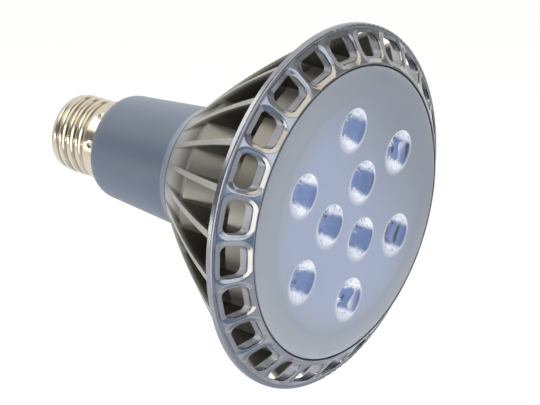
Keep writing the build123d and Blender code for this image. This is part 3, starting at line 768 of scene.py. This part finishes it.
# Finish, dark colour, light colour, size of its patches in millimetres, roughness, solids that wear it
coats = [
    ("cap_glass", (24, 24, 27), (40, 40, 44), 3.0, 0.12, ["cap_insulator"]),
    ("seal_rubber", (34, 36, 41), (46, 48, 54), 2.0, 0.55, ["lens_gasket"]),
    ("pad_silicone", (120, 126, 134), (136, 141, 148), 1.0, 0.6, ["thermal_pad"]),
    ("green_board", (22, 84, 52), (34, 104, 64), 2.5, 0.35, ["driver_board"]),
    ("ferrite", (44, 43, 42), (62, 60, 58), 0.9, 0.5, ["transformer", "choke"]),
    ("capacitor_sleeve", (22, 30, 58), (32, 42, 74), 4.0, 0.3, ["bulk_capacitor", "output_capacitor"]),
    ("film_coating", (176, 120, 36), (194, 138, 48), 3.0, 0.35, ["film_capacitor"]),
    ("resistor_coating", (150, 170, 150), (170, 188, 166), 1.0, 0.4, ["fuse_resistor"]),
    ("chip_resin", (28, 28, 30), (42, 42, 44), 0.7, 0.5, ["bridge_rectifier", "controller_chip"]),
    ("red_wire", (160, 24, 26), (182, 36, 34), 3.0, 0.35, ["tip_lead", "led_lead_plus"]),
    ("black_wire", (20, 20, 22), (34, 34, 36), 3.0, 0.35, ["shell_lead", "led_lead_minus"]),
]
for name, dark, light, grain, rough, solids in coats:
    dress(coated(name, dark, light, grain, rough), *solids)

# %% Bare metal pieces
EVEN = (1, 1, 1)
DRAWN_OUT = (1, 1, 12)


def bare_metal(name, dark, light, grain, rough, stretch):
    """Metal between two tones, with a grain that can be drawn out along an axis."""
    made = Finish(name)
    patch = made.noise(grain, stretch=stretch)
    shader = made.principled(
        Base_Color=patch.blend(shade(*dark), shade(*light)),
        Metallic=1.0,
        Roughness=rough + patch * 0.12,
        Normal=made.bump(patch, strength=0.05, depth=0.03),
    )
    return made.close(shader)


# Finish, dark tone, light tone, size of its grain in millimetres, roughness, stretch, solids that wear it
metals = [
    ("contact_metal", (196, 188, 170), (214, 206, 190), 1.2, 0.25, EVEN, ["centre_contact"]),
    ("plate_aluminium", (176, 176, 174), (192, 192, 190), 1.5, 0.32, DRAWN_OUT, ["led_plate"]),
    ("steel_screw", (170, 168, 164), (190, 188, 184), 0.8, 0.28, EVEN, ["neck_screws", "board_screws"]),
]
for name, dark, light, grain, rough, stretch, solids in metals:
    dress(bare_metal(name, dark, light, grain, rough, stretch), *solids)

# %% [markdown]
# ## The rolled screw shell
# The cap's shell is thin sheet: a tube is rolled between shaped wheels, which press a round helical thread
# into it, and small punch marks round the skirt stake it to the neck. A cylinder with many rings
# is a good start. How far each point of the sheet is pressed out is stored as a weight,
# one Displace modifier does the pressing, and Solidify gives the sheet its thickness.
# Sizes in these cells are in millimetres.

# %% Sizes of the shell
SHELL_END = 4.6
THREAD_START = 6.7
THREAD_END = 19.4
SKIRT_START = 20.6
SKIRT_END = 25.6
MOUTH_RADIUS = 9.7
CORNER_RADIUS = 11.5
CORNER_RISE = 0.15
THREAD_MIDDLE = 13.05
THREAD_SWING = 0.45
THREAD_PITCH = 3.63
RUN_IN = 0.45 * THREAD_PITCH
RUN_OUT = 0.35 * THREAD_PITCH
RUN_OUT_TAIL = 0.4
CREST_BREADTH = 1.7
SKIRT_RADIUS = 14.0
SHEET = 0.45
FACING = math.radians(151.4)
CREST_STATION = 9.42
STAKE_STATION = 23.2
STAKE_FIRST = math.radians(121.8)
STAKE_COUNT = 8
STAKE_GAP = math.tau / STAKE_COUNT
STAKE_RADIUS = 0.75
STAKE_DEPTH = 0.4


def smooth_step(value, low, high):
    """0 below low, 1 above high, and a smooth rise between them."""
    share = min(max((value - low) / (high - low), 0.0), 1.0)
    return share * share * (3 - 2 * share)


def shell_radius(along, angle):
    """Radius of the shell's outside at a station and an angle round the axis."""
    if along < THREAD_START:
        rise = (along - SHELL_END) / (THREAD_START - SHELL_END)
        corner = math.sqrt(1 - (1 - rise) ** 2)
        plain = CORNER_RADIUS + (THREAD_MIDDLE - CORNER_RADIUS - CORNER_RISE) * corner + CORNER_RISE * rise
    else:
        widening = smooth_step(along, THREAD_END, SKIRT_START)
        plain = THREAD_MIDDLE + (SKIRT_RADIUS - THREAD_MIDDLE) * widening
    crest = CREST_STATION + THREAD_PITCH * (angle - FACING) / math.tau
    valley = 0.5 - 0.5 * math.cos(math.tau * (along - crest) / THREAD_PITCH)
    wave = 1 - 2 * valley**CREST_BREADTH
    run_in = smooth_step(along, THREAD_START, THREAD_START + RUN_IN)
    run_out = 1 - smooth_step(along, THREAD_END - RUN_OUT, THREAD_END + RUN_OUT_TAIL)
    radius = plain + THREAD_SWING * wave * run_in * run_out
    from_stake = (angle - STAKE_FIRST + STAKE_GAP / 2) % STAKE_GAP - STAKE_GAP / 2
    away = math.hypot(from_stake * SKIRT_RADIUS, along - STAKE_STATION)
    return radius - STAKE_DEPTH * math.exp(-((away / STAKE_RADIUS) ** 2))


print("thread crests", [round(CREST_STATION + count * THREAD_PITCH, 2) for count in range(3)])

# %% A plain tube with many rings
SHELL_SIDES = 180
SHELL_RINGS = 120
tube_length = (SKIRT_END - SHELL_END) * MM
tube_middle = -(SKIRT_END + SHELL_END) / 2 * MM
bpy.ops.object.select_all(action="DESELECT")
bpy.ops.mesh.primitive_cylinder_add(
    vertices=SHELL_SIDES,
    radius=MOUTH_RADIUS * MM,
    depth=tube_length,
    end_fill_type="NOTHING",
    location=(0, tube_middle, 0),
    rotation=(math.pi / 2, 0, 0),
)
shell = bpy.context.object
shell.name = "rolled_shell"
bpy.ops.object.transform_apply(location=True, rotation=True, scale=True)


def pick_edges(piece, chosen):
    """Leaves the piece in edit mode with only those edges selected that chosen(first, second) accepts."""
    bpy.ops.object.mode_set(mode="EDIT")
    bpy.ops.mesh.select_mode(type="EDGE")
    bpy.ops.mesh.select_all(action="DESELECT")
    bpy.ops.object.mode_set(mode="OBJECT")
    points = piece.data.vertices
    for edge in piece.data.edges:
        edge.select = chosen(*(points[index].co for index in edge.vertices))
    bpy.ops.object.mode_set(mode="EDIT")


pick_edges(shell, lambda first, second: abs(first.y - second.y) > tube_length / 2)
bpy.ops.mesh.subdivide(number_cuts=SHELL_RINGS - 1)
bpy.ops.object.mode_set(mode="OBJECT")
print("tube:", len(shell.data.vertices), "points")

# %% Press the thread and stake marks
press = shell.vertex_groups.new(name="pressed_out")
full_press = SKIRT_RADIUS + THREAD_SWING - MOUTH_RADIUS
for vertex in shell.data.vertices:
    along = min(max(-vertex.co.y / MM, SHELL_END), SKIRT_END)
    angle = math.atan2(vertex.co.z, vertex.co.x)
    weight = (shell_radius(along, angle) - MOUTH_RADIUS) / full_press
    press.add([vertex.index], weight, "REPLACE")
displace = shell.modifiers.new("press", "DISPLACE")
displace.vertex_group = press.name
displace.direction = "NORMAL"
displace.mid_level = 0.0
displace.strength = full_press * MM
bpy.ops.object.modifier_apply(modifier=displace.name)
widest = max(math.hypot(vertex.co.x, vertex.co.z) for vertex in shell.data.vertices)
print("widest radius", round(widest / MM, 3), "mm")

# %% Turn the end in, thicken and smooth
EDGE_SLACK = 0.01
SMOOTH_ANGLE = math.radians(40)
back_edge = -(SHELL_END + EDGE_SLACK) * MM
pick_edges(shell, lambda first, second: min(first.y, second.y) > back_edge)
bpy.ops.mesh.extrude_edges_move()
lip_share = MOUTH_RADIUS / CORNER_RADIUS
bpy.ops.transform.resize(value=(lip_share, 1.0, lip_share), center_override=(0, -SHELL_END * MM, 0))
bpy.ops.mesh.select_all(action="SELECT")
bpy.ops.mesh.normals_make_consistent(inside=False)
bpy.ops.object.mode_set(mode="OBJECT")
wall = shell.modifiers.new("sheet", "SOLIDIFY")
wall.thickness = SHEET * MM
wall.offset = -1.0
bpy.ops.object.modifier_apply(modifier=wall.name)
bpy.ops.object.shade_smooth_by_angle(angle=SMOOTH_ANGLE)
print("shell:", len(shell.data.polygons), "faces")

# %% [markdown]
# ## Nickel plate
# The shell is plated with nickel, which is a warm white metal. Rolling leaves faint rings round it,
# so the grain is stretched round the axis and the roughness changes from place to place.
# The valleys of the thread are painted darker than its crests, as painted shade. They are found by their
# distance from the axis.

# %% Nickel finish on the shell
VALLEY_BOTTOM = 12.65 * MM
VALLEY_TOP = 12.95 * MM
VALLEY_SHADE_SHARE = 0.8

nickel = Finish("nickel_plate")
rolled = nickel.noise(grain=0.5, detail=3.0, stretch=(0.25, 3.0, 0.25))
tarnish = nickel.noise(grain=5.0, detail=3.0)
plate_tone = tarnish.blend(shade(205, 194, 174), shade(222, 213, 196))
# Painted shade: a darker colour in the valleys of the thread.
valley_shade = 1 - nickel.axis_distance().ramp_between(VALLEY_BOTTOM, VALLEY_TOP)
nickel_shader = nickel.principled(
    Base_Color=(valley_shade * VALLEY_SHADE_SHARE).blend(plate_tone, shade(142, 133, 117)),
    Metallic=1.0,
    Roughness=0.14 + rolled * 0.1,
    Normal=nickel.bump(rolled, strength=0.05, depth=0.02),
)
shell.data.materials.clear()
shell.data.materials.append(nickel.close(nickel_shader))
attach(shell, "root")
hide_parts("screw_shell")

# %% [markdown]
# ## The box of the dressed lamp
# The dressed lamp must stay inside the box of its solids, so the box of the dressed lamp is measured,
# without the floor and the cards.

# %% Measure the box of the dressed lamp
low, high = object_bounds()
